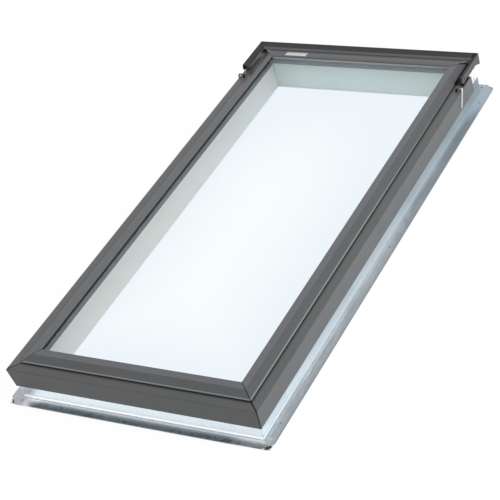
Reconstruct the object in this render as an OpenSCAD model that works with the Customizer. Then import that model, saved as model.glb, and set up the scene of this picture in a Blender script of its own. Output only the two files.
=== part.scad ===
// Fixed roof skylight: a timber frame that carries a double glazing unit, clad outside with
// folded metal and screwed to the roof deck through a flange.
// Every section is drawn as (out, up): out from the edge of the daylight opening, up from that edge.

/* [Daylight opening] */
// Width of the glass that shows between the caps
opening_w = 436; // [320:1:1000]
// Length of the glass that shows between the caps, up the roof
opening_l = 1027; // [620:1:1600]

/* [Timber frame] */
// Height of the timber below the glass
rail_h = 65; // [61:0.5:110]
// Thickness of each rail and stile
rail_t = 32; // [31:0.5:38]
// Set-back of the timber's inner face behind the opening edge
rail_back = 10; // [8:0.5:11]
// Height of the outer rim above the floor of the glazing rebate
rim_h = 13; // [12:0.5:14]
// Chamfer along the inner foot of the timber
foot_chamfer = 2; // [1:0.5:4]

/* [Glazing unit] */
// Thickness of each pane
pane_t = 4; // [3:0.5:6]
// Height of the sealed space between the panes
cavity_h = 12; // [10:0.5:16]
// Width of glass that is hidden under the caps
pane_cover = 17; // [15:0.5:17]
// Set-back of the spacer bar behind the opening edge
spacer_back = 2; // [1:0.25:3]
// Width of the spacer bar
spacer_w = 8; // [6:0.5:10]
// Height of the gasket that the panes lie on
bed_h = 2; // [1.5:0.25:3]
// Width of the gasket that the panes lie on
bed_w = 5; // [4:0.5:6]
// Height of the gasket under the caps
cap_gasket_h = 2; // [1.5:0.25:3]
// Width of the gasket under the caps
cap_gasket_w = 5.5; // [4:0.5:8]
// Thickness of the setting blocks round the panes
block_t = 2; // [1.5:0.25:3]
// Length of a setting block
block_l = 60; // [30:5:90]
// Height of a setting block
block_h = 11; // [8:0.5:11]

/* [Caps] */
// Thickness of the cap profile
cap_t = 1.6; // [1.2:0.1:2]
// Height of the edge that faces the glass
cap_edge_h = 3.2; // [3:0.1:4.5]
// Width of the inner facet
cap_inner_w = 15; // [12:0.5:18]
// Fall of the inner facet
cap_fall = 2; // [1.5:0.25:3]
// Width of a cap from the opening edge to its lip
cap_w = 32; // [31:0.5:33]
// Height of the shadow gap below the lip
lip_gap = 2; // [1.5:0.25:2.5]
// Distance from the lip back to the outer leg
leg_back = 3.4; // [2.5:0.1:4]
// Width of the rear cap, which the hood covers
rear_cap_w = 34; // [33.5:0.25:36]

/* [Skirts] */
// Thickness of the skirt sheet
skirt_t = 1.2; // [0.8:0.1:1.5]
// Distance from the opening edge out to the crease
crease_out = 55; // [54:0.5:58]
// Height of a skirt from crease to foot
skirt_h = 46; // [40:0.5:48]
// Inward lean of a skirt from crease to foot
skirt_lean = 5; // [2:0.5:6]
// Distance that the side skirts stop short of the opening's upper edge
skirt_stop = 12; // [8:0.5:20]
// Rake of the upper end of the side skirts
skirt_rake = 14; // [6:1:20]

/* [Hood] */
// Thickness of the hood sheet
hood_t = 1.2; // [0.8:0.1:1.5]
// Height of the hood's ridge above the opening edge
hood_top = 7.5; // [6:0.25:10]
// Distance from the opening's upper edge to the back of the hood
hood_rear_out = 50; // [48:0.5:56]
// Distance from the opening's side edge to the outside of a return
hood_side_out = 51.5; // [50.5:0.25:52]
// Width of a return
hood_side_w = 12; // [9:0.5:13]
// Length of a return below the opening's upper edge
hood_return = 52; // [46:1:60]
// Depth of the back of the hood below the opening edge
hood_drop = 20; // [16:0.5:30]
// Depth of a return's face below the opening edge
return_drop = 9; // [6:0.5:10]

/* [Flange] */
// Thickness of the flange sheet
flange_t = 1.5; // [1:0.1:2]
// Distance from the opening edge to the flange's outer edge
flange_out = 70; // [68:0.5:90]
// Height of the upstand against the timber
upstand_h = 38; // [34:0.5:40]
// Length cut off each corner of the flange
corner_clip = 18; // [12:1:24]
// Diameter of the fixing holes
hole_d = 5; // [3.5:0.5:6]
// Distance from the opening edge to the fixing holes
hole_out = 57.5; // [54:0.5:57.5]
// Height of the deck seal under the flange
seal_h = 2; // [1.5:0.25:3]
// Width of the deck seal
seal_w = 5.5; // [4:0.5:5.5]
// Set-back of the deck seal behind the flange's edge
seal_back = 4; // [2:0.5:4]

/* [Clips and screws] */
// Width of a retaining clip
clip_w = 6; // [5:0.5:8]
// Thickness of a retaining clip
clip_t = 1.4; // [1:0.1:1.6]
// Height of a retaining clip above the skirt's shoulder
clip_rise = 7; // [5:0.5:9]
// Length of a retaining clip's outer leg
clip_leg = 38; // [25:1:42]
// Lean of a retaining clip towards the foot of the roof
clip_lean = 12; // [0:1:15]
// Diameter of a screw's shank
screw_d = 3.2; // [2.5:0.1:3.6]
// Diameter of a screw's head
screw_head_d = 5.6; // [5:0.1:6]
// Height of a screw's head
screw_head_h = 1.9; // [1.4:0.1:2.2]

/* [Hidden] */
$fn = 48;

// Clearance where two pieces seat on each other, gap at the mitres, and overrun of the cuts
seat = 0.1;
mitre_gap = 0.2;
screw_play = 0.2;
overrun = 1;

// Bend radii and the steps of each bend
cap_bend_r = 1.2;
sheet_bend_r = 1.6;
hood_bend_r = 1;
strap_bend_r = 2;
flange_bend_r = 6;
bend_steps = 6;

// Heights, counted down from the opening edge
gasket_top = -cap_edge_h - seat;
pane_top = gasket_top - cap_gasket_h - seat;
cavity_top = pane_top - pane_t - seat;
cavity_foot = cavity_top - cavity_h;
inner_top = cavity_foot - seat;
pane_foot = inner_top - pane_t;
bed_top = pane_foot - seat;
rebate_z = bed_top - bed_h - seat;
base_z = rebate_z - rail_h;
rim_z = rebate_z + rim_h;
shoulder_z = rim_z + seat + skirt_t;
lip_foot_z = shoulder_z + lip_gap;
lip_z = lip_foot_z + cap_t;
foot_z = shoulder_z - skirt_h;
flange_z = base_z + seal_h + seat;
rear_cap_z = -rear_cap_w * cap_fall / cap_inner_w;

// Distances out from the opening edge
rail_out = rail_back + rail_t;
rim_in = pane_cover + block_t + 2 * seat;
shoulder_in = rim_in + seat;
leg_in = cap_w - leg_back - cap_t;
rear_leg_in = rear_cap_w - cap_t;
hood_foot = rear_cap_w - cap_t;
upstand_in = rail_out + seat;
seal_out = flange_out - seal_back;

// Halves of the opening, and a length past every section
half_w = opening_w / 2;
half_l = opening_l / 2;
reach = flange_out + overrun;

// Shares that place what repeats along a side
long_shares = [-0.75, -0.25, 0.25, 0.75];
short_shares = [-0.5, 0.5];
corner_shares = [0.3, 0.7];
hood_crease_share = 0.79;
hood_crease_rise_share = 0.52;
return_round_share = 0.32;

// Widths and lengths of the small pieces
clip_base_t = 1;
clip_arm_t = 1;
cap_clip_l = 26;
cap_clip_base_w = 6.6;
cap_clip_arm_h = 3;
cladding_screw_l = 18;
corner_screw_d = 5;
corner_head_d = 9;
corner_head_h = 3.5;
corner_screw_l = 58;
flange_screw_l = 20;
clip_screw_l = 20;
hood_screw_l = 6;
hood_head_d = 8;
hood_lip_h = 2;
hood_weld = 0.6;
hood_strip_in = 3;
return_screw_in = 16;
bracket_t = 1.5;
bracket_l = 14;
bracket_w = 7;
slot_play = 1.2;
tongue_gap = 2;
strap_play = 0.3;
clip_foot_gap = 8;
clip_at = 70;
seal_proud = 3.5;
seal_clip = corner_clip - 2 * seal_back - seal_proud;

// Unit vector from a to b, and the same turned a quarter to its right
function toward(a, b) = (b - a) / norm(b - a);
function right_of(v) = [v[1], -v[0]];

// Point i of a path, moved to its right by t
function shifted(path, i, t) =
    let (last = len(path) - 1)
    let (n1 = right_of(toward(path[max(i - 1, 0)], path[max(i, 1)])))
    let (n2 = right_of(toward(path[min(i, last - 1)], path[min(i + 1, last)])))
    path[i] + t * (n1 + n2) / (1 + n1 * n2);

// A path with an arc of radius r at each inner point
function bend(a, b, c, r) =
    let (u = toward(b, a), v = toward(b, c))
    let (half = acos(max(min(u * v, 1), -1)) / 2)
    let (centre = b + toward([0, 0], u + v) * r / sin(half))
    let (p = b + u * r / tan(half), q = b + v * r / tan(half))
    let (start = atan2(p[1] - centre[1], p[0] - centre[0]))
    let (sweep = atan2(q[1] - centre[1], q[0] - centre[0]) - start)
    let (turn = sweep > 180 ? sweep - 360 : sweep < -180 ? sweep + 360 : sweep)
    [for (k = [0:bend_steps]) let (at = start + turn * k / bend_steps) centre + r * [cos(at), sin(at)]];
function bent(path, r) =
    let (last = len(path) - 1)
    concat([path[0]], [for (i = [1:last - 1]) each bend(path[i - 1], path[i], path[i + 1], r)], [path[last]]);

// Outline of a sheet of thickness t to the right of a path, with bends of radius r on the path's side
// and of radius r2, or sharp ones, on the other side
function sheet(path, t, r, r2 = 0) =
    let (other = [for (i = [0:len(path) - 1]) shifted(path, i, t)])
    let (side = r2 > 0 ? bent(other, r2) : other)
    concat(bent(path, r), [for (i = [len(side) - 1:-1:0]) side[i]]);

// Height of a cap's outer facet at a distance out
function cap_z(out) = -cap_fall + (out - cap_inner_w) / (cap_w - cap_inner_w) * (lip_z + cap_fall);

// Sections
function rail_section() = [
    [rail_back + foot_chamfer, base_z], [rail_back, base_z + foot_chamfer], [rail_back, rebate_z],
    [rim_in, rebate_z], [rim_in, rim_z], [rail_out, rim_z], [rail_out, base_z]
];
function cap_section() =
    sheet([[0, -cap_edge_h], [0, 0], [cap_inner_w, -cap_fall], [cap_w, lip_z], [cap_w, lip_foot_z]],
          cap_t, cap_bend_r);
function leg_section() = [
    [leg_in, shoulder_z + seat], [leg_in, cap_z(leg_in) - cap_t / 2],
    [leg_in + cap_t, cap_z(leg_in + cap_t) - cap_t / 2], [leg_in + cap_t, shoulder_z + seat]
];
function rear_cap_section() =
    sheet([[0, -cap_edge_h], [0, 0], [rear_cap_w, rear_cap_z], [rear_cap_w, rim_z + seat]],
          cap_t, cap_bend_r);
function skirt_section() =
    sheet([[shoulder_in, shoulder_z], [crease_out, shoulder_z], [crease_out - skirt_lean, foot_z]],
          skirt_t, sheet_bend_r);
function flange_section() =
    sheet([[upstand_in, flange_z + upstand_h], [upstand_in, flange_z], [flange_out, flange_z]],
          -flange_t, flange_bend_r + flange_t, flange_bend_r);
function seal_section() = [
    [seal_out - seal_w, base_z], [seal_out - seal_w, base_z + seal_h],
    [seal_out, base_z + seal_h], [seal_out, base_z]
];

// Hood section of a given outer face, width and drop: front lip, two slopes up to the ridge, outer face
hood_lip_z = -hood_foot * cap_fall / cap_inner_w + seat;
hood_crease_z = hood_lip_z + (hood_top - hood_lip_z) * hood_crease_rise_share;
function hood_section(out, w, drop) =
    sheet([[out - w, hood_lip_z], [out - w, hood_lip_z + hood_lip_h],
           [out - w * hood_crease_share, hood_crease_z], [out, hood_top], [out, -drop]],
          hood_t, hood_bend_r);

// Places children at the middle of one side's opening edge, with out along -Y
module on_front() translate([0, -half_l, -base_z]) children();
module on_rear() rotate(180) on_front() children();
module on_right() rotate(90) translate([0, -half_w, -base_z]) children();
module on_left() mirror([1, 0, 0]) on_right() children();

// A straight bar of a section, long enough for its mitres
module bar(section, half) {
    rotate([90, 0, 90])
    linear_extrude(height = 2 * (half + reach), center = true)
    polygon([for (p = section) [-p[0], p[1]]]);
}

// The plan of one side of the ring between its two mitres
module mitre_plan(half, gap) {
    translate([0, 0, base_z - overrun])
    linear_extrude(height = hood_top - base_z + 2 * overrun)
    polygon([
        [gap - half + reach, reach], [half - reach - gap, reach],
        [half + reach - gap, -reach], [gap - half - reach, -reach]
    ]);
}

// The plan of one side of the flange, mitred, with its outer corners clipped
module clipped_plan(half, out, clip, gap) {
    translate([0, 0, base_z - overrun])
    linear_extrude(height = hood_top - base_z + 2 * overrun)
    polygon([
        [gap - half + reach, reach], [half - reach - gap, reach],
        [half + out - clip / 2 - gap, clip / 2 - out],
        [half + out - clip - overrun, -out - overrun], [clip + overrun - half - out, -out - overrun],
        [gap - half - out + clip / 2, clip / 2 - out]
    ]);
}

module mitred_bar(section, half, gap) {
    intersection() {
        bar(section, half);
        mitre_plan(half, gap);
    }
}

module clipped_bar(section, half, out, clip) {
    intersection() {
        bar(section, half);
        clipped_plan(half, out, clip, mitre_gap);
    }
}

// A closed ring between two distances out
module ring(inner, outer, z, h) {
    translate([0, 0, z - base_z])
    linear_extrude(height = h)
    difference() {
        square([opening_w + 2 * outer, opening_l + 2 * outer], center = true);
        square([opening_w + 2 * inner, opening_l + 2 * inner], center = true);
    }
}

// A screw along +Z with the underside of its domed head at z = 0
module screw(d, l, head_d, head_h) {
    translate([0, 0, -l]) cylinder(d = d, h = l);
    rotate_extrude() {
        intersection() {
            translate([0, head_h - dome_r(head_d, head_h)]) circle(r = dome_r(head_d, head_h));
            square([head_d / 2, head_h]);
        }
    }
}
function dome_r(d, h) = (d * d / 4 + h * h) / (2 * h);

// A hole for a screw, open past the face that the head lies on
module screw_hole(d, l) {
    translate([0, 0, -l - screw_play]) cylinder(d = d + 2 * screw_play, h = l + screw_play + overrun);
}

// Places of the screws through the upstand, on a side of half length half
module at_upstand(half, shares) {
    for (s = shares)
        translate([s * half, -upstand_in - flange_t - seat, flange_z + upstand_h - screw_head_d / 2 - seat])
        rotate([90, 0, 0]) children();
}

// Places of the cap clips on a side, with the middle of a clip's foot edge against the cap's leg
module at_clips(half, shares, out, z) {
    for (s = shares)
        translate([s * half, -out, z]) children();
}

// Centre of the screw in a cap clip, back from the leg
clip_screw_back = clip_arm_t + screw_head_d / 2 + seat;
module at_clip_screws(half, shares, out, z) {
    at_clips(half, shares, out, z) translate([0, clip_screw_back, 0]) children();
}
module clip_screw_holes(half, shares, out) {
    at_clip_screws(half, shares, out, rim_z + overrun) screw_hole(screw_d, cladding_screw_l);
}

// Place of the retaining clip on the right side, turned by its lean about the outward axis
module at_strap() {
    translate([half_l - clip_at, 0, shoulder_z]) rotate([0, clip_lean, 0]) children();
}
strap_foot = flange_z + upstand_h + clip_foot_gap - shoulder_z;
strap_screw_z = strap_foot + screw_head_d;
module at_strap_screw() {
    at_strap() translate([0, -rail_out - seat - clip_t - seat, strap_screw_z]) rotate([90, 0, 0]) children();
}

// The lower end of the hood's right return and the place of its screw
return_mid_z = (hood_top - hood_t - return_drop) / 2;
return_r = (hood_top - hood_t + return_drop) * return_round_share;
return_square = hood_return - return_r;
return_screw = hood_return - return_screw_in;
hood_strip = hood_return - hood_strip_in;
module at_return_screw() {
    translate([half_l - return_screw, -hood_side_out - seat, return_mid_z]) rotate([90, 0, 0]) children();
}

// Places of the two screws across each mitre of the timber, on the right side
module at_corner_screws() {
    for (end = [-1, 1], s = corner_shares)
        translate([end * (half_l + rail_back + rail_t / 2), -rail_out, base_z + s * rail_h])
        rotate([90, 0, 0]) children();
}
module corner_holes() {
    at_corner_screws() {
        translate([0, 0, -corner_head_h - seat]) screw_hole(corner_screw_d, corner_screw_l);
        translate([0, 0, -corner_head_h - seat])
        cylinder(d = corner_head_d + 2 * screw_play, h = corner_head_h + overrun);
    }
}
module each_corner_side() {
    on_right() children();
    on_left() children();
}

// Timber
module rail() mitred_bar(rail_section(), half_w, mitre_gap);
module upstand_holes(half, shares) at_upstand(half, shares) screw_hole(screw_d, flange_screw_l);

module sill_rail() {
    color("ivory")
    difference() {
        on_front() difference() {
            rail();
            clip_screw_holes(half_w, short_shares, leg_in - seat);
            upstand_holes(half_w, short_shares);
        }
        each_corner_side() corner_holes();
    }
}

module head_rail() {
    color("ivory")
    difference() {
        on_rear() difference() {
            rail();
            clip_screw_holes(half_w, short_shares, rear_leg_in - seat);
            upstand_holes(half_w, short_shares);
        }
        each_corner_side() corner_holes();
    }
}

module stile() {
    difference() {
        mitred_bar(rail_section(), half_l, mitre_gap);
        clip_screw_holes(half_l, long_shares, leg_in - seat);
        upstand_holes(half_l, long_shares);
        corner_holes();
        at_strap_screw() screw_hole(screw_d, clip_screw_l);
    }
}
module left_stile() color("ivory") on_left() stile();
module right_stile() color("ivory") on_right() stile();

module corner_screws() {
    color("silver")
    each_corner_side() at_corner_screws()
    translate([0, 0, -corner_head_h])
    screw(corner_screw_d, corner_screw_l, corner_head_d, corner_head_h - seat);
}

// Glazing unit
module pane(z) {
    translate([-half_w - pane_cover, -half_l - pane_cover, z - base_z])
    cube([opening_w + 2 * pane_cover, opening_l + 2 * pane_cover, pane_t]);
}
module outer_pane() color("lightcyan", 0.3) pane(pane_top - pane_t);
module inner_pane() color("lightcyan", 0.3) pane(pane_foot);
module spacer_bar() color("darkgray") ring(spacer_back, spacer_back + spacer_w, cavity_foot, cavity_h);
module edge_seal() color("dimgray") ring(spacer_back + spacer_w + seat, pane_cover, cavity_foot, cavity_h);
module bed_gasket() color("black") ring(rail_back + seat, rail_back + bed_w, rebate_z + seat, bed_h);
module cap_gasket() color("black") ring(seat, cap_gasket_w, gasket_top - cap_gasket_h, cap_gasket_h);

module blocks(half, shares) {
    for (s = shares)
        translate([s * half - block_l / 2, -rim_in + seat, rebate_z + seat])
        cube([block_l, block_t, block_h]);
}
module setting_blocks() {
    color("darkslategray") {
        on_front() blocks(half_w, short_shares);
        on_rear() blocks(half_w, short_shares);
        on_left() blocks(half_l, short_shares);
        on_right() blocks(half_l, short_shares);
    }
}

// Caps
module cap(half) {
    mitred_bar(cap_section(), half, mitre_gap);
    mitred_bar(leg_section(), half, mitre_gap);
}
module front_cap() color("dimgray") on_front() cap(half_w);
module rear_cap() color("dimgray") on_rear() mitred_bar(rear_cap_section(), half_w, mitre_gap);
module left_cap() color("dimgray") on_left() cap(half_l);
module right_cap() color("dimgray") on_right() cap(half_l);

// A spring clip screwed down behind a cap's leg, its foot edge at the leg
module cap_clip() {
    difference() {
        translate([-cap_clip_l / 2, 0, 0]) {
            cube([cap_clip_l, cap_clip_base_w, clip_base_t]);
            cube([cap_clip_l, clip_arm_t, clip_base_t + cap_clip_arm_h]);
        }
        translate([0, clip_screw_back, clip_base_t]) screw_hole(screw_d, clip_base_t);
    }
}
module cap_clips() {
    color("gray") {
        on_front() at_clips(half_w, short_shares, leg_in - seat, shoulder_z + seat) cap_clip();
        on_rear() at_clips(half_w, short_shares, rear_leg_in - seat, rim_z + seat) cap_clip();
        on_left() at_clips(half_l, long_shares, leg_in - seat, shoulder_z + seat) cap_clip();
        on_right() at_clips(half_l, long_shares, leg_in - seat, shoulder_z + seat) cap_clip();
    }
}
clip_top = clip_base_t + 2 * seat;
module cladding_row(half, shares, out, z) {
    at_clip_screws(half, shares, out - seat, z + clip_top)
    screw(screw_d, cladding_screw_l, screw_head_d, screw_head_h);
}
module cladding_screws() {
    color("silver") {
        on_front() cladding_row(half_w, short_shares, leg_in, shoulder_z);
        on_rear() cladding_row(half_w, short_shares, rear_leg_in, rim_z);
        on_left() cladding_row(half_l, long_shares, leg_in, shoulder_z);
        on_right() cladding_row(half_l, long_shares, leg_in, shoulder_z);
    }
}

// Skirts
module front_skirt() {
    color("dimgray")
    on_front() difference() {
        mitred_bar(skirt_section(), half_w, mitre_gap);
        clip_screw_holes(half_w, short_shares, leg_in - seat);
    }
}

// What lies past the raked upper end of the right skirt
module past_skirt() {
    rotate([90, 0, 0])
    linear_extrude(height = 2 * reach, center = true)
    polygon([
        [half_l - skirt_stop, shoulder_z + overrun], [half_l - skirt_stop, shoulder_z],
        [half_l - skirt_stop + skirt_rake, foot_z], [half_l - skirt_stop + skirt_rake, foot_z - overrun],
        [half_l + 2 * reach, foot_z - overrun], [half_l + 2 * reach, shoulder_z + overrun]
    ]);
}

// Slot in the shoulder for the retaining clip
module strap_slot() {
    translate([half_l - clip_at - clip_w / 2 - slot_play, -rail_out - seat - clip_t - slot_play, 0])
    translate([0, 0, shoulder_z - skirt_t - overrun])
    cube([clip_w + 2 * slot_play, clip_t + 2 * slot_play, skirt_t + 2 * overrun]);
}
// The shoulder goes on under the hood, up to the leg of the rear cap and round its corner
tongue_out = hood_side_out - hood_t - tongue_gap;
tongue_l = rear_leg_in - tongue_gap;
corner_l = hood_rear_out - hood_t - tongue_gap;
corner_in = rear_cap_w + tongue_gap;
module shoulder_tongue() {
    translate([half_l, 0, shoulder_z - skirt_t])
    linear_extrude(height = skirt_t)
    polygon([
        [-skirt_stop - overrun, -tongue_out], [corner_l, -tongue_out], [corner_l, -corner_in],
        [tongue_l, -corner_in], [tongue_l, -shoulder_in], [-skirt_stop - overrun, -shoulder_in]
    ]);
}
module side_skirt() {
    difference() {
        union() {
            difference() {
                mitred_bar(skirt_section(), half_l, mitre_gap);
                past_skirt();
            }
            shoulder_tongue();
        }
        strap_slot();
        clip_screw_holes(half_l, long_shares, leg_in - seat);
    }
}
module left_skirt() color("dimgray") on_left() side_skirt();
module right_skirt() color("dimgray") on_right() side_skirt();

// Hood
hood_rear_w = hood_rear_out - hood_foot;
hood_slope_share = hood_side_w / hood_rear_w;

// Half length of the hood's back at a distance out
function hood_half(out) = half_w + hood_side_out + (out - hood_rear_out) * hood_slope_share;

module hood_back() {
    intersection() {
        bar(hood_section(hood_rear_out, hood_rear_w, hood_drop), half_w);
        translate([0, 0, base_z])
        linear_extrude(height = hood_top - base_z + overrun)
        polygon([
            [-hood_half(0), 0], [hood_half(0), 0], [hood_half(hood_rear_out), -hood_rear_out],
            [-hood_half(hood_rear_out), -hood_rear_out]
        ]);
    }
}

// The right return: its sloping top, mitred to the back, and its face with rounded lower corners
module hood_side() {
    intersection() {
        bar(hood_section(hood_side_out, hood_side_w, hood_t - hood_top + sheet_bend_r), half_l);
        translate([0, 0, base_z])
        linear_extrude(height = hood_top - base_z + overrun)
        polygon([
            [half_l - hood_strip, -hood_side_out + hood_side_w],
            [half_l + hood_foot + hood_weld, -hood_side_out + hood_side_w],
            [half_l + hood_rear_out, -hood_side_out + hood_weld * hood_slope_share],
            [half_l + hood_rear_out, -hood_side_out], [half_l - hood_strip, -hood_side_out]
        ]);
    }
    translate([0, -hood_side_out + hood_t, 0])
    rotate([90, 0, 0])
    linear_extrude(height = hood_t)
    difference() {
        union() {
            polygon([
                [half_l - return_square, hood_top - hood_t],
                [half_l + hood_rear_out - hood_t, hood_top - hood_t],
                [half_l + hood_rear_out, hood_top - 2 * hood_t], [half_l + hood_rear_out, -hood_drop],
                [half_l + hood_rear_out - hood_t, -hood_drop],
                [half_l + hood_foot - return_drop, -return_drop], [half_l - return_square, -return_drop]
            ]);
            translate([half_l - hood_return, return_r - return_drop])
            square([return_r + overrun, hood_top - hood_t + return_drop - 2 * return_r]);
            translate([half_l - return_square, hood_top - hood_t - return_r]) circle(r = return_r);
            translate([half_l - return_square, return_r - return_drop]) circle(r = return_r);
        }
        translate([half_l - return_screw, return_mid_z]) circle(d = screw_d + 2 * screw_play);
    }
}
module hood() {
    color("#45464b") {
        on_rear() hood_back();
        on_right() hood_side();
        on_left() hood_side();
    }
}

// Angle that the right return is screwed to, standing on the skirt's shoulder
bracket_top = return_mid_z + screw_head_d;
module hood_bracket() {
    difference() {
        translate([half_l - return_screw - bracket_l / 2, 0, shoulder_z + seat])
        translate([0, -hood_side_out + hood_t + seat, 0]) {
            cube([bracket_l, bracket_w, bracket_t]);
            cube([bracket_l, bracket_t, bracket_top - shoulder_z]);
        }
        at_return_screw() screw_hole(screw_d, hood_screw_l);
    }
}
module left_hood_bracket() color("silver") on_left() hood_bracket();
module right_hood_bracket() color("silver") on_right() hood_bracket();

module hood_screws() {
    color("gray")
    each_corner_side() at_return_screw() screw(screw_d, hood_screw_l, hood_head_d, screw_head_h);
}

// Retaining clips: up from the timber, through the shoulder, over the crease and down the skirt
strap_out = crease_out + strap_play + clip_t;
strap_lean = skirt_lean * cos(clip_lean) * clip_leg / skirt_h;
function strap_section() =
    sheet([[rail_out + seat, strap_foot], [rail_out + seat, clip_rise],
           [strap_out, clip_rise], [strap_out, 0], [strap_out - strap_lean, -clip_leg]],
          clip_t, strap_bend_r);
module strap() {
    difference() {
        at_strap()
        rotate([90, 0, 90])
        linear_extrude(height = clip_w, center = true)
        polygon([for (p = strap_section()) [-p[0], p[1]]]);
        at_strap_screw() screw_hole(screw_d, clip_screw_l);
    }
}
module left_clip() color("lightgray") on_left() strap();
module right_clip() color("lightgray") on_right() strap();
module clip_screws() {
    color("silver")
    each_corner_side() at_strap_screw() screw(screw_d, clip_screw_l, screw_head_d, screw_head_h);
}

// Flange
short_holes = [-half_w - rail_out, half_w + rail_out];
long_holes = [-half_l, 0, half_l];
module fixing_holes(places) {
    for (at = places)
        translate([at, -hole_out, flange_z - overrun]) cylinder(d = hole_d, h = flange_t + 2 * overrun);
}
module flange(half, shares, holes) {
    difference() {
        clipped_bar(flange_section(), half, flange_out, corner_clip);
        upstand_holes(half, shares);
        fixing_holes(holes);
    }
}
module front_flange() color("gainsboro") on_front() flange(half_w, short_shares, short_holes);
module rear_flange() color("gainsboro") on_rear() flange(half_w, short_shares, short_holes);
module left_flange() color("gainsboro") on_left() flange(half_l, long_shares, long_holes);
module right_flange() color("gainsboro") on_right() flange(half_l, long_shares, long_holes);

module flange_screw() screw(screw_d, flange_screw_l, screw_head_d, screw_head_h);
module flange_screws() {
    color("silver") {
        on_front() at_upstand(half_w, short_shares) flange_screw();
        on_rear() at_upstand(half_w, short_shares) flange_screw();
        on_left() at_upstand(half_l, long_shares) flange_screw();
        on_right() at_upstand(half_l, long_shares) flange_screw();
    }
}

// Deck seal
module front_seal() color("black") on_front() clipped_bar(seal_section(), half_w, seal_out, seal_clip);
module rear_seal() color("black") on_rear() clipped_bar(seal_section(), half_w, seal_out, seal_clip);
module left_seal() color("black") on_left() clipped_bar(seal_section(), half_l, seal_out, seal_clip);
module right_seal() color("black") on_right() clipped_bar(seal_section(), half_l, seal_out, seal_clip);

sill_rail();
head_rail();
left_stile();
right_stile();
corner_screws();
outer_pane();
inner_pane();
spacer_bar();
edge_seal();
bed_gasket();
cap_gasket();
setting_blocks();
front_cap();
rear_cap();
left_cap();
right_cap();
cap_clips();
cladding_screws();
front_skirt();
left_skirt();
right_skirt();
hood();
left_hood_bracket();
right_hood_bracket();
hood_screws();
left_clip();
right_clip();
clip_screws();
front_flange();
rear_flange();
left_flange();
right_flange();
flange_screws();
front_seal();
rear_seal();
left_seal();
right_seal();
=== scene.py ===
import math
import bmesh
import bpy
from mathutils import Matrix, Vector


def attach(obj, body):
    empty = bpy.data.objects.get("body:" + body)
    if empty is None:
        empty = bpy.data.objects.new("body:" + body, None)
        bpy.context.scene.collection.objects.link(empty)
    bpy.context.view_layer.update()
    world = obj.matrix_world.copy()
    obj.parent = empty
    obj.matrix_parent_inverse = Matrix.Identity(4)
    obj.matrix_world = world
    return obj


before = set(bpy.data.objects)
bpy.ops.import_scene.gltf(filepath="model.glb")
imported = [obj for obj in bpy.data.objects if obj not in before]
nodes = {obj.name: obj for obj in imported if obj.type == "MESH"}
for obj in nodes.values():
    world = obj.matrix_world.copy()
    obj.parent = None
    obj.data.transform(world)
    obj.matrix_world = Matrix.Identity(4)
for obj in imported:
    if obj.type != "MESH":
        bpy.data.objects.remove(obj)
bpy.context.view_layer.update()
scene = bpy.context.scene
scene.view_settings.view_transform = "Standard"
print("frame loaded,", len(nodes), "nodes")

halfW = 0.218        # half of the daylight opening
halfL = 0.5135
rise = 0.0928        # height of the opening edge above the deck

# camera, from the straight edges of the picture
cameraView = {
    "place": (1.6554, -2.3560, 2.0415),
    "right": (0.8721, 0.4348, -0.2244),
    "up": (-0.1061, 0.6158, 0.7807),
    "lens": 122.83,
    "sensor": 36.0,
    "reach": 60.0,
}
camData = bpy.data.cameras.new("cam")
camData.sensor_fit = "HORIZONTAL"
camData.sensor_width = cameraView["sensor"]
camData.lens = cameraView["lens"]
camData.clip_end = cameraView["reach"]
cam = bpy.data.objects.new("cam", camData)
right = Vector(cameraView["right"]).normalized()
up = Vector(cameraView["up"])
up = (up - right * up.dot(right)).normalized()
turn = Matrix((right, up, right.cross(up))).transposed()
cam.matrix_world = Matrix.Translation(cameraView["place"]) @ turn.to_4x4()
scene.collection.objects.link(cam)
scene.camera = cam
print("camera set")


# a plain value is set on a socket, anything else is linked to it
def plug(tree, value, socket):
    if isinstance(value, (int, float, tuple)):
        socket.default_value = value
    else:
        tree.links.new(value, socket)


def mathIn(tree, what, a, b=0.0, clamp=False):
    n = tree.nodes.new("ShaderNodeMath")
    n.operation = what
    n.use_clamp = clamp
    plug(tree, a, n.inputs[0])
    plug(tree, b, n.inputs[1])
    return n.outputs[0]


def times(tree, a, b):
    return mathIn(tree, "MULTIPLY", a, b)


def plus(tree, a, b, clamp=False):
    return mathIn(tree, "ADD", a, b, clamp)


def minus(tree, a, b):
    return mathIn(tree, "SUBTRACT", a, b)


def larger(tree, a, b):
    return mathIn(tree, "MAXIMUM", a, b)


def noiseIn(tree, vector, scale, detail=2.0, rough=0.5):
    n = tree.nodes.new("ShaderNodeTexNoise")
    n.inputs["Scale"].default_value = scale
    n.inputs["Detail"].default_value = detail
    n.inputs["Roughness"].default_value = rough
    tree.links.new(vector, n.inputs["Vector"])
    return n.outputs["Fac"]


def mixIn(tree, share, a, b):
    n = tree.nodes.new("ShaderNodeMix")
    n.data_type = "RGBA"
    for i, v in ((0, share), (6, a), (7, b)):       # share and the two colour sockets
        plug(tree, v, n.inputs[i])
    return n.outputs[2]


def rampIn(tree, value, low, high, smooth=False):
    n = tree.nodes.new("ShaderNodeMapRange")
    n.clamp = True
    if smooth:
        n.interpolation_type = "SMOOTHSTEP"
    n.inputs["From Min"].default_value = low
    n.inputs["From Max"].default_value = high
    tree.links.new(value, n.inputs["Value"])
    return n.outputs[0]


def vectorIn(tree, what, a, b=None):
    n = tree.nodes.new("ShaderNodeVectorMath")
    n.operation = what
    plug(tree, a, n.inputs[0])
    if b is not None:
        plug(tree, b, n.inputs["Scale" if what == "SCALE" else 1])
    return n.outputs[0]


def splitIn(tree, vector):
    n = tree.nodes.new("ShaderNodeSeparateXYZ")
    tree.links.new(vector, n.inputs[0])
    return n.outputs


def joinIn(tree, *parts):
    n = tree.nodes.new("ShaderNodeCombineXYZ")
    for i, v in enumerate(parts):
        plug(tree, v, n.inputs[i])
    return n.outputs[0]


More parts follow.
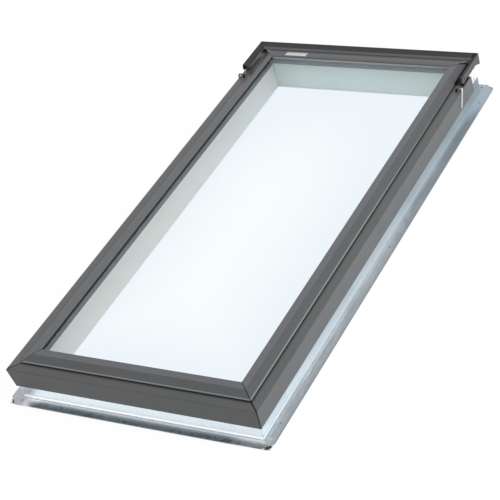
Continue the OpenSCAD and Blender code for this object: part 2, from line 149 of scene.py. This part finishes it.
def objectPlace(tree):
    return tree.nodes.new("ShaderNodeTexCoord").outputs["Object"]


def geometryIn(tree, what):
    return tree.nodes.new("ShaderNodeNewGeometry").outputs[what]


def lightPath(tree):
    return tree.nodes.new("ShaderNodeLightPath").outputs


groups = {}
surface = {"Color": "Color", "Roughness": "Float", "Height": "Float"}      # what a finish puts out


def newGroup(name, ins, outs):
    tree = bpy.data.node_groups.new(name, "ShaderNodeTree")
    for label, value in ins.items():
        kind = {1: "Float", 3: "Vector", 4: "Color"}[len(value) if isinstance(value, tuple) else 1]
        socket = tree.interface.new_socket(label, in_out="INPUT", socket_type="NodeSocket" + kind)
        socket.default_value = value
    for label, kind in outs.items():
        tree.interface.new_socket(label, in_out="OUTPUT", socket_type="NodeSocket" + kind)
    return tree, tree.nodes.new("NodeGroupInput").outputs


def closeGroup(tree, results):
    end = tree.nodes.new("NodeGroupOutput")
    for label, value in results.items():
        tree.links.new(value, end.inputs[label])
    return tree


def useGroup(tree, kind, values):
    n = tree.nodes.new("ShaderNodeGroup")
    n.node_tree = groups[kind]
    for label, value in values.items():
        plug(tree, value, n.inputs[label])
    return n.outputs


# where a point is on the ring of profiles: how far out, how high, how near a mitre, which way is out
def makeProfileGroup():
    tree, _ = newGroup("profilePlace", {}, {
        "Out": "Float", "Up": "Float", "Joint": "Float", "Side": "Float", "Rear": "Float", "Across": "Float",
        "Outward": "Vector", "Along": "Vector",
    })
    x, y, z = splitIn(tree, objectPlace(tree))
    wide = minus(tree, mathIn(tree, "ABSOLUTE", x), halfW)
    deep = minus(tree, mathIn(tree, "ABSOLUTE", y), halfL)
    out = larger(tree, wide, deep)
    atEnd = mathIn(tree, "GREATER_THAN", deep, wide)       # front and rear
    atSide = minus(tree, 1.0, atEnd)
    outX = times(tree, mathIn(tree, "SIGN", x), atSide)
    outY = times(tree, mathIn(tree, "SIGN", y), atEnd)
    length = plus(tree, times(tree, x, atEnd), times(tree, y, atSide))
    return closeGroup(tree, {
        "Out": out,
        "Up": minus(tree, z, rise),
        "Joint": mathIn(tree, "ABSOLUTE", minus(tree, wide, deep)),
        "Side": wide,
        "Rear": minus(tree, y, halfL),
        "Across": x,
        "Outward": joinIn(tree, outX, outY, 0.0),
        "Along": joinIn(tree, length, out, z),
    })


# soft band of a value between two limits
def makeBandGroup():
    tree, given = newGroup("bandMask", {"Value": 0.0, "Low": 0.0, "High": 1.0, "Soft": 0.001}, {"Mask": "Float"})
    half = 0.5        # a limit lies in the middle of its soft edge
    into = mathIn(tree, "DIVIDE", minus(tree, given["Value"], given["Low"]), given["Soft"])
    past = mathIn(tree, "DIVIDE", minus(tree, given["High"], given["Value"]), given["Soft"])
    rising = plus(tree, into, half, clamp=True)
    falling = plus(tree, past, half, clamp=True)
    return closeGroup(tree, {"Mask": times(tree, rising, falling)})


# a value that swings about its middle with a noise from 0 to 1
def swingIn(tree, middle, noise, spread):
    return plus(tree, middle, times(tree, minus(tree, noise, 0.5), spread))


# lacquer on folded sheet: soft clouding, drawing lines along the profile, fine orange peel, a little dust
lacquerGrain = {
    "cloud": 9.0, "cloudRange": (0.35, 0.7),
    "speck": 420.0, "speckRange": (0.68, 0.8), "speckShare": 0.7,
    "lineStretch": (2.0, 240.0, 240.0), "lineRange": (0.4, 0.7),
    "polish": 30.0, "peel": 700.0,
}


def makeLacquerGroup():
    tree, given = newGroup("sheetLacquer", {
        "Shade": (0.1, 0.1, 0.1, 1), "Chalk": (0.2, 0.2, 0.2, 1), "Cloud": 0.2, "Draw": 0.1,
        "Rough": 0.4, "Spread": 0.1,
    }, surface)
    grain = lacquerGrain
    place = objectPlace(tree)
    cloud = rampIn(tree, noiseIn(tree, place, grain["cloud"], detail=4.0, rough=0.6), *grain["cloudRange"])
    speck = rampIn(tree, noiseIn(tree, place, grain["speck"]), *grain["speckRange"])
    along = vectorIn(tree, "MULTIPLY", useGroup(tree, "profile", {})["Along"], grain["lineStretch"])
    lines = rampIn(tree, noiseIn(tree, along, 1.0, detail=3.0, rough=0.6), *grain["lineRange"])
    polish = noiseIn(tree, place, grain["polish"], detail=3.0)
    dust = plus(tree, cloud, times(tree, speck, grain["speckShare"]))
    amount = plus(tree, times(tree, dust, given["Cloud"]), times(tree, lines, given["Draw"]), clamp=True)
    return closeGroup(tree, {
        "Color": mixIn(tree, amount, given["Shade"], given["Chalk"]),
        "Roughness": swingIn(tree, given["Rough"], polish, given["Spread"]),
        "Height": noiseIn(tree, place, grain["peel"], detail=1.0),
    })


# zinc spangle: cells with slightly different tone and polish, and duller streaks along the profile as painted
# reflection patches
zincGrain = {
    "streakStretch": (9.0, 70.0, 20.0), "streakRange": (0.42, 0.64), "reflectionPatch": (0.3, 0.34, 0.38, 1), "dent": 260.0,
}


def makeSpangleGroup():
    tree, given = newGroup("zincSpangle", {
        "Bright": (0.8, 0.8, 0.8, 1), "Dull": (0.6, 0.6, 0.6, 1), "Cell": 120.0, "Patch": 0.0,
        "Rough": 0.2, "Spread": 0.1,
    }, surface)
    grain = zincGrain
    place = objectPlace(tree)
    cells = tree.nodes.new("ShaderNodeTexVoronoi")
    tree.links.new(place, cells.inputs["Vector"])
    tree.links.new(given["Cell"], cells.inputs["Scale"])
    tone = tree.nodes.new("ShaderNodeSeparateColor")
    tree.links.new(cells.outputs["Color"], tone.inputs[0])
    spangle = mixIn(tree, tone.outputs[0], given["Bright"], given["Dull"])
    along = vectorIn(tree, "MULTIPLY", useGroup(tree, "profile", {})["Along"], grain["streakStretch"])
    streak = rampIn(tree, noiseIn(tree, along, 1.0), *grain["streakRange"])
    return closeGroup(tree, {
        "Color": mixIn(tree, times(tree, streak, given["Patch"]), spangle, grain["reflectionPatch"]),
        "Roughness": swingIn(tree, given["Rough"], tone.outputs[1], given["Spread"]),
        "Height": noiseIn(tree, place, grain["dent"], detail=3.0),
    })


# painted timber: brush strokes and raised grain along the piece
timberGrain = {"scale": 4.0, "range": (0.45, 0.75), "share": 0.5, "dulling": 0.15}


def makeTimberGroup():
    tree, given = newGroup("paintedGrain", {
        "Paint": (0.8, 0.8, 0.8, 1), "Shadow": (0.7, 0.7, 0.7, 1), "Stretch": (60.0, 3.0, 60.0), "Rough": 0.4,
    }, surface)
    long = vectorIn(tree, "MULTIPLY", objectPlace(tree), given["Stretch"])
    grain = noiseIn(tree, long, timberGrain["scale"], detail=4.0, rough=0.6)
    strokes = times(tree, rampIn(tree, grain, *timberGrain["range"]), timberGrain["share"])
    return closeGroup(tree, {
        "Color": mixIn(tree, strokes, given["Paint"], given["Shadow"]),
        "Roughness": plus(tree, given["Rough"], times(tree, grain, timberGrain["dulling"])),
        "Height": grain,
    })


# black rubber: bloom and fine pores
rubberGrain = {"bloom": 60.0, "range": (0.45, 0.75), "rough": 0.55, "dulling": 0.2, "pores": 900.0}


def makeRubberGroup():
    tree, given = newGroup("rubberBloom", {"Black": (0.01, 0.01, 0.01, 1), "Bloom": (0.05, 0.05, 0.05, 1)}, surface)
    grain = rubberGrain
    place = objectPlace(tree)
    bloom = rampIn(tree, noiseIn(tree, place, grain["bloom"], detail=4.0, rough=0.65), *grain["range"])
    return closeGroup(tree, {
        "Color": mixIn(tree, bloom, given["Black"], given["Bloom"]),
        "Roughness": plus(tree, times(tree, bloom, grain["dulling"]), grain["rough"]),
        "Height": noiseIn(tree, place, grain["pores"]),
    })


# flat legs: their shading normal turns outward by a share, so that they mirror what they do in the picture
flatFrom, flatTo = 0.9, 0.99        # upward part of the normal, where the lean starts and is full


def makeLeanGroup():
    tree, given = newGroup("legLean", {"Lean": 0.0}, {"Normal": "Vector"})
    face = geometryIn(tree, "Normal")
    flat = rampIn(tree, splitIn(tree, face)[2], flatFrom, flatTo)
    turned = vectorIn(tree, "SCALE", useGroup(tree, "profile", {})["Outward"], times(tree, flat, given["Lean"]))
    return closeGroup(tree, {"Normal": vectorIn(tree, "NORMALIZE", vectorIn(tree, "ADD", face, turned))})


groups["profile"] = makeProfileGroup()
groups["band"] = makeBandGroup()
groups["lacquer"] = makeLacquerGroup()
groups["spangle"] = makeSpangleGroup()
groups["timber"] = makeTimberGroup()
groups["rubber"] = makeRubberGroup()
groups["lean"] = makeLeanGroup()
print("effects built")


# a band brings a stretch to its tone in the picture, within limits by measure, each (low, high, soft);
# a deep one loses its gloss, a near one is for the camera's rays alone and stands for what is mirrored there;
# a face is (axis, low, high, amount, colour) of the normal
def band(amount, colour, deep=False, near=False, **limits):
    return amount, colour, deep, near, limits


bumpDepth = 0.0004


def newMaterial(name):
    mat = bpy.data.materials.new(name)
    mat.use_nodes = True
    return mat, mat.node_tree, mat.node_tree.nodes["Principled BSDF"]


def finish(name, kind, values, metal=0.0, spec=0.5, bump=0.05, bands=(), faces=(), lean=None):
    mat, tree, shader = newMaterial(name)
    shader.inputs["Metallic"].default_value = metal
    shader.inputs["Specular IOR Level"].default_value = spec
    look = useGroup(tree, kind, values)
    colour = look["Color"]
    if faces:
        normal = splitIn(tree, geometryIn(tree, "Normal"))
        for axis, low, high, amount, tint in faces:
            share = times(tree, rampIn(tree, normal[axis], low, high), amount)
            colour = mixIn(tree, share, colour, tint)
    if bands:
        where = useGroup(tree, "profile", {})
        dead = None
        for share, tint, deep, near, limits in bands:
            for measure, (low, high, soft) in limits.items():
                limit = {"Value": where[measure], "Low": low, "High": high, "Soft": soft}
                share = times(tree, useGroup(tree, "band", limit)["Mask"], share)
            if near:
                share = times(tree, lightPath(tree)["Is Camera Ray"], share)
            colour = mixIn(tree, share, colour, tint)
            if deep:
                dead = share if dead is None else larger(tree, dead, share)
        if dead is not None:
            tree.links.new(dead, shader.inputs["Metallic"])
    tree.links.new(colour, shader.inputs["Base Color"])
    tree.links.new(look["Roughness"], shader.inputs["Roughness"])
    dent = tree.nodes.new("ShaderNodeBump")
    dent.inputs["Strength"].default_value = bump
    dent.inputs["Distance"].default_value = bumpDepth
    tree.links.new(look["Height"], dent.inputs["Height"])
    if lean is not None:
        tree.links.new(useGroup(tree, "lean", {"Lean": lean})["Normal"], dent.inputs["Normal"])
    tree.links.new(dent.outputs["Normal"], shader.inputs["Normal"])
    return mat


# glass: clearer in the middle than near its edges
glassLook = {
    "edge": (0.918, 0.95, 0.978, 1), "middle": (0.958, 0.996, 0.991, 1),
    "inward": (0.04, -0.23), "forward": (-0.02, -0.5), "bend": 1.15,
}


def glassFinish(name, look):
    mat, tree, shader = newMaterial(name)
    where = useGroup(tree, "profile", {})
    inward = rampIn(tree, where["Out"], *look["inward"], smooth=True)
    forward = rampIn(tree, where["Rear"], *look["forward"], smooth=True)
    colour = mixIn(tree, times(tree, inward, forward), look["edge"], look["middle"])
    tree.links.new(colour, shader.inputs["Base Color"])
    shader.inputs["Roughness"].default_value = 0.0
    shader.inputs["IOR"].default_value = look["bend"]
    shader.inputs["Transmission Weight"].default_value = 1.0
    return mat


def grey(v, tint=(1.0, 1.0, 1.0)):
    return (v * tint[0], v * tint[1], v * tint[2], 1.0)


cool = (0.97, 1.0, 1.03)
onLeft = (-1.0, 0.0, 0.01)             # limits across, for one half only
onRight = (0.0, 1.0, 0.01)

# caps
lacquerLook = {
    "Shade": grey(0.09, cool), "Chalk": grey(0.13, cool), "Cloud": 0.25, "Draw": 0.12, "Rough": 0.42, "Spread": 0.12,
}
capGloss = 0.42
capBands = (
    band(0.7, (0.148, 0.155, 0.168, 1), Out=(-0.01, 0.0148, 0.0006)),      # inner facet, paler
    band(0.85, grey(0.29, cool), Out=(0.0302, 0.04, 0.0006), Rear=(-3.0, -0.3, 0.5)),      # lip, brighter: painted highlight
    band(0.85, grey(0.01), deep=True, Joint=(-0.001, 0.0011, 0.0006)),     # dark mitres
)
leftCapBands = capBands + (
    band(0.9, grey(0.015), deep=True, Out=(-0.01, 0.0004, 0.0003)),        # inner edge, painted shade as dark as the gasket
)
rightCapBands = capBands + (
    band(0.97, grey(0.006), deep=True, Out=(0.0302, 0.04, 0.0012), Rear=(-0.048, 0.1, 0.002)),     # by the return, dark: painted shadow of the return
)
rearCapBands = capBands[1:] + (
    band(0.8, grey(0.09, cool), Out=(-0.01, 0.0148, 0.003)),               # inner facet, darker
    band(0.7, grey(0.04), Out=(-0.01, 0.0055, 0.0008)),
    band(0.9, grey(0.62, cool), Out=(-0.01, 0.0006, 0.0003), Up=(-0.02, -0.0012, 0.0006)),     # inner edge, pale: painted highlight
    band(0.85, grey(0.36, cool), Side=(0.0225, 0.06, 0.004)),              # ends, lighter: painted light against the shade of the hood
)

# skirts
shoulder = (-0.0148, -0.012, 0.0004)   # limits up, for the shoulder alone
skirtBands = (
    band(0.6, grey(0.03), Out=(0.0, 0.0362, 0.0015)),                      # under the lip, darker: painted shade
    band(0.95, grey(0.008), deep=True, Out=(0.0325, 0.052, 0.0004), Up=shoulder, Rear=(-0.05, 0.1, 0.002),
         Across=onRight),                                                  # by the return, dark: painted shadow of the right return
    band(0.95, grey(0.006), deep=True, Joint=(-0.001, 0.0017, 0.0005)),    # dark mitres
)
frontSkirtBands = (
    band(0.7, grey(0.06, cool), Up=(-0.08, -0.0138, 0.004)),               # under the crease, darker: painted shade
) + skirtBands
sideSkirtBands = (
    band(0.6, grey(0.125, cool), Across=onLeft),                           # left one paler: painted light
) + skirtBands + (
    band(0.8, grey(0.45, cool), Across=onLeft, Up=shoulder, Rear=(0.015, 0.1, 0.02)),      # under the hood, lighter: painted light against its shade
)

# hood
hoodLook = {"Shade": grey(0.1), "Chalk": grey(0.125), "Cloud": 0.25, "Draw": 0.1, "Rough": 0.42, "Spread": 0.12}
hoodFaces = (
    (2, 0.7, 0.9, 0.95, (0.012, 0.012, 0.015, 1)),                         # upper facets, darker
    (1, -0.5, -0.9, 0.8, grey(0.125)),                                     # edge that faces the glass
)
returnTop = (0.0398, 0.05145, 0.0002)
hoodBands = (
    band(0.95, grey(0.006), Side=returnTop, Across=onLeft),                # tops of the returns, darker: painted shade
    band(0.6, grey(0.006), deep=True, Side=returnTop, Across=onRight),
    band(0.9, grey(0.052), Side=(0.05145, 0.06, 0.0002)),                  # their outer faces, darker: painted shade
)

# flange: the front and the other legs are one zinc, in two tones that are painted reflections
legOut = (0.0455, 0.09, 0.002)         # limits out, for the leg alone
frontZincLook = {
    "Bright": (0.95, 0.98, 1.0, 1), "Dull": (0.91, 0.95, 0.97, 1), "Cell": 150.0, "Patch": 0.05,
    "Rough": 0.3, "Spread": 0.08,
}
frontZincBands = (
    band(0.9, (0.69, 0.745, 0.78, 1), near=True, Out=(0.0, 0.0455, 0.002)),                # upstand: painted reflection
    band(0.87, (0.35, 0.43, 0.49, 1), near=True, Out=(0.0512, 0.09, 0.008), Joint=(0.05, 2.0, 0.02)),   # edge, darker: painted reflection of the dark skirt
    band(0.9, (0.35, 0.36, 0.395, 1), Out=legOut, Across=(-0.4, -0.248, 0.02)),            # left end, greyer: painted reflection
    band(0.9, (0.9, 0.95, 1.0, 1), near=True, Out=legOut, Across=(0.215, 0.4, 0.04)),      # right end, brighter: painted reflection
)
sideZincLook = {
    "Bright": (0.9, 0.96, 1.0, 1), "Dull": (0.86, 0.94, 1.0, 1), "Cell": 150.0, "Patch": 0.2,
    "Rough": 0.36, "Spread": 0.08,
}
rightRear = {"Across": (0.2, 0.4, 0.05), "Rear": (-0.25, 0.3, 0.6)}
sideZincBands = (
    band(0.85, (0.47, 0.49, 0.505, 1), near=True, Out=(0.0, 0.0445, 0.002)),               # upstand, less bright: painted reflection
    band(0.85, (0.44, 0.485, 0.515, 1), near=True, Out=(0.043, 0.0485, 0.002)),            # bend and foot of it: painted reflection
    band(0.6, (0.52, 0.59, 0.64, 1), Out=(0.063, 0.09, 0.006)),                            # outer part, darker: painted reflection of the dark skirt
    band(0.8, (0.2, 0.22, 0.24, 1), Out=(0.0692, 0.09, 0.0006)),                           # edge of the sheet, dark
    band(0.9, (0.38, 0.39, 0.43, 1), Across=(-0.4, -0.2, 0.01), Rear=(-1.2, -1.05, 0.015)),    # front end, greyer: painted reflection
    band(1.0, (0.33, 0.41, 0.48, 1), near=True, Out=(0.0465, 0.09, 0.002), **rightRear),   # rear end, darker: painted reflection, on the leg and on the upstand
    band(0.9, (0.23, 0.29, 0.325, 1), near=True, Out=(0.0, 0.0465, 0.002), **rightRear),
)
frontLean = 0.1
sideLean = 0.14

# clips, screws and plate
clipLook = {"Bright": (0.86, 0.86, 0.85, 1), "Dull": (0.8, 0.8, 0.8, 1), "Cell": 400.0, "Rough": 0.3, "Spread": 0.08}
leftClipBands = (
    band(0.95, grey(0.012), Out=(0.0, 0.0553, 0.0006)),                    # inner side, black: painted shade
)
rightClipBands = (
    # inner leg, black: painted shade
    band(0.95, grey(0.012), Out=(0.0, 0.0499, 0.0004)),
)
screwLook = {"Bright": (0.7, 0.71, 0.72, 1), "Dull": (0.6, 0.61, 0.63, 1), "Cell": 500.0, "Rough": 0.32, "Spread": 0.1}
plateLook = {"Bright": (0.8, 0.8, 0.8, 1), "Dull": (0.72, 0.72, 0.72, 1), "Cell": 600.0, "Rough": 0.3, "Spread": 0.1}

# timber: one white paint, tinted apart on stiles and rails as painted light and shade inside the well
stileLook = {
    "Paint": (0.91, 0.88, 0.8, 1), "Shadow": (0.87, 0.84, 0.76, 1), "Stretch": (60.0, 3.0, 60.0), "Rough": 0.4,
}
railLook = {
    "Paint": (0.87, 0.94, 0.85, 1), "Shadow": (0.83, 0.9, 0.81, 1), "Stretch": (3.0, 60.0, 60.0), "Rough": 0.4,
}
rimBands = (
    band(0.95, (0.86, 0.86, 0.845, 1), Out=(0.03, 0.1, 0.004)),            # outer faces, untinted
    band(0.95, grey(0.03), Up=(-0.0162, -0.0130, 0.0004)),                 # rim, dark
)

# glazing edge
spacerLook = {
    "Bright": (0.22, 0.235, 0.235, 1), "Dull": (0.2, 0.215, 0.215, 1), "Cell": 300.0, "Rough": 0.4, "Spread": 0.1,
}
spacerFaces = (
    (2, 0.7, 0.9, 1.0, grey(0.92)),                                        # upper face paler: painted highlight
)
spacerBands = (
    band(1.0, (0.135, 0.14, 0.135, 1), Rear=(-2.0, -0.01, 0.01)),          # darker along the sides
)
rubberLook = {"Black": grey(0.008), "Bloom": grey(0.02)}
sealantLook = {"Black": grey(0.02), "Bloom": grey(0.04)}
blockLook = {"Black": grey(0.04), "Bloom": grey(0.06)}
rubberGloss = 0.3
gasketBands = (
    band(0.9, grey(0.5), Out=(-0.02, 0.002, 0.0005), Rear=(-0.0005, 0.1, 0.0004)),         # rear lip, paler: painted highlight
)


# lacquer of the caps and skirts in its own shade: the same lacquer, painted lighter or darker per piece for the light
# on it
def shaded(shade):
    return {**lacquerLook, "Shade": grey(shade, cool)}


mats = {
    "cap": finish("capLacquer", "lacquer", lacquerLook, spec=capGloss, bands=capBands),
    "leftCap": finish("leftCapLacquer", "lacquer", shaded(0.083), spec=0.36, bands=leftCapBands),
    "rearCap": finish("rearCapLacquer", "lacquer", shaded(0.15), spec=capGloss, bands=rearCapBands),
    "rightCap": finish("rightCapLacquer", "lacquer", lacquerLook, spec=capGloss, bands=rightCapBands),
    "skirt": finish("frontSkirtLacquer", "lacquer", shaded(0.08), bands=frontSkirtBands),
    "sideSkirt": finish("sideSkirtLacquer", "lacquer", shaded(0.096), bands=sideSkirtBands),
    "hood": finish("hoodLacquer", "lacquer", hoodLook, faces=hoodFaces, bands=hoodBands),
    "frontZinc": finish("frontFlangeZinc", "spangle", frontZincLook, metal=1.0, bump=0.03,
                        bands=frontZincBands, lean=frontLean),
    "sideZinc": finish("sideFlangeZinc", "spangle", sideZincLook, metal=1.0, bump=0.03,
                       bands=sideZincBands, lean=sideLean),
    "leftClip": finish("leftClipSteel", "spangle", clipLook, metal=1.0, bump=0.04, bands=leftClipBands),
    "rightClip": finish("rightClipSteel", "spangle", clipLook, metal=1.0, bump=0.04, bands=rightClipBands),
    "screw": finish("screwZinc", "spangle", screwLook, metal=1.0, bump=0.04),
    # screws and brackets in the hood, dark: painted shade of its hollow
    "hoodScrew": finish("hoodScrewShade", "lacquer", {**hoodLook, "Shade": grey(0.05)}),
    "spacer": finish("spacerCoat", "spangle", spacerLook, bump=0.04, faces=spacerFaces, bands=spacerBands),
    "stile": finish("stilePaint", "timber", stileLook, bump=0.04, bands=rimBands),
    "rail": finish("railPaint", "timber", railLook, bump=0.04, bands=rimBands),
    "gasket": finish("gasketRubber", "rubber", rubberLook, spec=rubberGloss, bands=gasketBands),
    "rubber": finish("sealRubber", "rubber", rubberLook, spec=rubberGloss),
    "sealant": finish("edgeSealant", "rubber", sealantLook, spec=rubberGloss),
    "block": finish("blockPlastic", "rubber", blockLook),
    "plate": finish("plateFoil", "spangle", plateLook, metal=1.0, bump=0.03),
    "glass": glassFinish("paneGlass", glassLook),
}

dress = {
    "cap": ["front_cap"],
    "rearCap": ["rear_cap"],
    "rightCap": ["right_cap"],
    "leftCap": ["left_cap"],
    "skirt": ["front_skirt"],
    "sideSkirt": ["left_skirt", "right_skirt"],
    "hood": ["hood"],
    "frontZinc": ["front_flange"],
    "sideZinc": ["rear_flange", "left_flange", "right_flange"],
    "hoodScrew": ["hood_screws", "left_hood_bracket", "right_hood_bracket"],
    "leftClip": ["left_clip"],
    "rightClip": ["right_clip"],
    "screw": ["corner_screws", "cladding_screws", "cap_clips", "clip_screws", "flange_screws"],
    "spacer": ["spacer_bar"],
    "stile": ["left_stile", "right_stile"],
    "rail": ["sill_rail", "head_rail"],
    "gasket": ["cap_gasket"],
    "rubber": ["bed_gasket", "front_seal", "rear_seal", "left_seal", "right_seal"],
    "sealant": ["edge_seal"],
    "block": ["setting_blocks"],
    "glass": ["outer_pane", "inner_pane"],
}
for look, names in dress.items():
    for n in names:
        nodes[n].data.materials.clear()
        nodes[n].data.materials.append(mats[look])
print("finishes set")


def addMesh(name, bm, mat):
    mesh = bpy.data.meshes.new(name)
    bm.to_mesh(mesh)
    bm.free()
    mesh.materials.append(mat)
    piece = bpy.data.objects.new(name, mesh)
    scene.collection.objects.link(piece)
    return piece


# bare plate that lies on the face of the rear cap
plate = {
    "left": -0.191, "right": -0.138, "near": 0.0105, "far": 0.0275, "thick": 0.0004, "clear": 0.00002,
    "corner": 0.0016, "steps": 6, "edge": 0.6, "fall": 2.0 / 15.0,
}


def makePlate():
    bm = bmesh.new()
    w = (plate["right"] - plate["left"]) / 2
    h = (plate["far"] - plate["near"]) / 2
    r = plate["corner"]
    ring = []
    for cx, cy, start in ((w - r, h - r, 0), (r - w, h - r, 90), (r - w, r - h, 180), (w - r, r - h, 270)):
        for k in range(plate["steps"] + 1):
            a = math.radians(start + 90 * k / plate["steps"])
            ring.append(bm.verts.new((cx + r * math.cos(a), cy + r * math.sin(a), 0)))
    face = bm.faces.new(ring)
    wall = bmesh.ops.extrude_face_region(bm, geom=[face])
    top = [v for v in wall["geom"] if isinstance(v, bmesh.types.BMVert)]
    bmesh.ops.translate(bm, verts=top, vec=(0, 0, plate["thick"]))
    bmesh.ops.recalc_face_normals(bm, faces=bm.faces)
    edge = [e for e in bm.edges if all(v.co.z > plate["thick"] / 2 for v in e.verts)]
    bmesh.ops.bevel(bm, geom=edge, offset=plate["thick"] * plate["edge"], segments=2, affect="EDGES")
    across = (plate["left"] + plate["right"]) / 2
    out = (plate["near"] + plate["far"]) / 2
    lie = Matrix.Rotation(-math.atan(plate["fall"]), 4, "X")
    lie.translation = (across, halfL + out, rise - out * plate["fall"] + plate["clear"])
    bm.transform(lie)
    piece = addMesh("rearPlate", bm, mats["plate"])
    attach(piece, "root")


makePlate()
print("plate laid")


# rays that see the white of the studio
def seenRays(tree):
    path = lightPath(tree)
    return larger(tree, larger(tree, path["Is Camera Ray"], path["Is Glossy Ray"]), path["Is Transmission Ray"])


def mixShaders(tree, share, first, second):
    n = tree.nodes.new("ShaderNodeMixShader")
    for i, v in enumerate((share, first.outputs[0], second.outputs[0])):
        tree.links.new(v, n.inputs[i])
    return n


def newStageMaterial(name):
    mat, tree, shader = newMaterial(name)
    tree.nodes.remove(shader)
    return mat, tree, tree.nodes["Material Output"].inputs["Surface"]


# floor: white to the eye, to gloss and to glass, plain pale for the light that it throws back
floorLook = {
    "size": 14.0, "below": 0.0006, "pale": grey(0.9), "lift": 0.07, "kept": 0.15,
    "shadow": grey(0.3), "shadowFrom": 0.012, "shadowTo": 0.066, "shadowSoft": 0.004,
}


def makeFloor():
    mat, tree, end = newStageMaterial("floorWhite")
    pale = tree.nodes.new("ShaderNodeBsdfDiffuse")
    pale.inputs["Color"].default_value = floorLook["pale"]
    white = tree.nodes.new("ShaderNodeEmission")
    under = useGroup(tree, "band", {
        "Value": useGroup(tree, "profile", {})["Out"],
        "Low": floorLook["shadowFrom"], "High": floorLook["shadowTo"], "Soft": floorLook["shadowSoft"],
    })["Mask"]
    tree.links.new(mixIn(tree, under, grey(1.0), floorLook["shadow"]), white.inputs["Color"])      # under the frame
    eye = lightPath(tree)["Is Camera Ray"]
    tree.links.new(plus(tree, times(tree, eye, floorLook["lift"]), 1.0), white.inputs["Strength"])
    share = minus(tree, seenRays(tree), times(tree, eye, floorLook["kept"]))       # the rest keeps the shadow
    top = mixShaders(tree, share, pale, white)
    clear = tree.nodes.new("ShaderNodeBsdfTransparent")
    both = mixShaders(tree, geometryIn(tree, "Backfacing"), top, clear)            # clear from below
    tree.links.new(both.outputs[0], end)
    bm = bmesh.new()
    bmesh.ops.create_grid(bm, x_segments=1, y_segments=1, size=floorLook["size"])
    floor = addMesh("floor", bm, mat)
    floor.location = (0, 0, -floorLook["below"])


makeFloor()

# studio light
studio = {
    "sky": 0.62, "seen": 1.0, "throughGlass": 1.7, "aim": (0, 0, 0.05),
    "keyGlow": 7.5, "keyPlace": (3.5, 0.5, 2.0), "keySize": 2.2, "keySides": 64,
    "fillPower": 6.0, "fillPlace": (-2.5, -3.0, 2.5), "fillSize": 2.5,
}


def lightWorld():
    world = bpy.data.worlds.new("studio")
    scene.world = world
    world.use_nodes = True
    tree = world.node_tree
    back = tree.nodes["Background"]
    back.inputs["Color"].default_value = grey(1.0)
    level = plus(tree, studio["sky"], times(tree, seenRays(tree), studio["seen"] - studio["sky"]))
    path = lightPath(tree)
    inWell = times(tree, path["Is Transmission Ray"], mathIn(tree, "GREATER_THAN", path["Diffuse Depth"], 0.5))
    lift = times(tree, inWell, studio["throughGlass"] - studio["seen"])            # raised to the picture's level
    tree.links.new(plus(tree, level, lift), back.inputs["Strength"])


def facing(place, axis):
    return (Vector(studio["aim"]) - Vector(place)).to_track_quat(axis, "Y").to_euler()


# round panel that gives light, but isn't seen itself, neither by the camera nor as a bright disc in the panes
def addPanel(name, place, glow, size):
    mat, tree, end = newStageMaterial(name)
    light = tree.nodes.new("ShaderNodeEmission")
    light.inputs["Strength"].default_value = glow
    path = lightPath(tree)
    hidden = larger(tree, path["Is Camera Ray"], path["Is Singular Ray"])
    hidden = larger(tree, hidden, geometryIn(tree, "Backfacing"))
    clear = tree.nodes.new("ShaderNodeBsdfTransparent")
    tree.links.new(mixShaders(tree, hidden, light, clear).outputs[0], end)
    bm = bmesh.new()
    bmesh.ops.create_circle(bm, cap_ends=True, segments=studio["keySides"], radius=size / 2)
    panel = addMesh(name, bm, mat)
    panel.location = place
    panel.rotation_euler = facing(place, "Z")


def addLamp(name, place, power, size):
    data = bpy.data.lights.new(name, "AREA")
    data.energy = power
    data.shape = "DISK"
    data.size = size
    lamp = bpy.data.objects.new(name, data)
    lamp.location = place
    lamp.rotation_euler = facing(place, "-Z")
    scene.collection.objects.link(lamp)


lightWorld()
addPanel("key", studio["keyPlace"], studio["keyGlow"], studio["keySize"])
addLamp("fill", studio["fillPlace"], studio["fillPower"], studio["fillSize"])
print("studio lit")
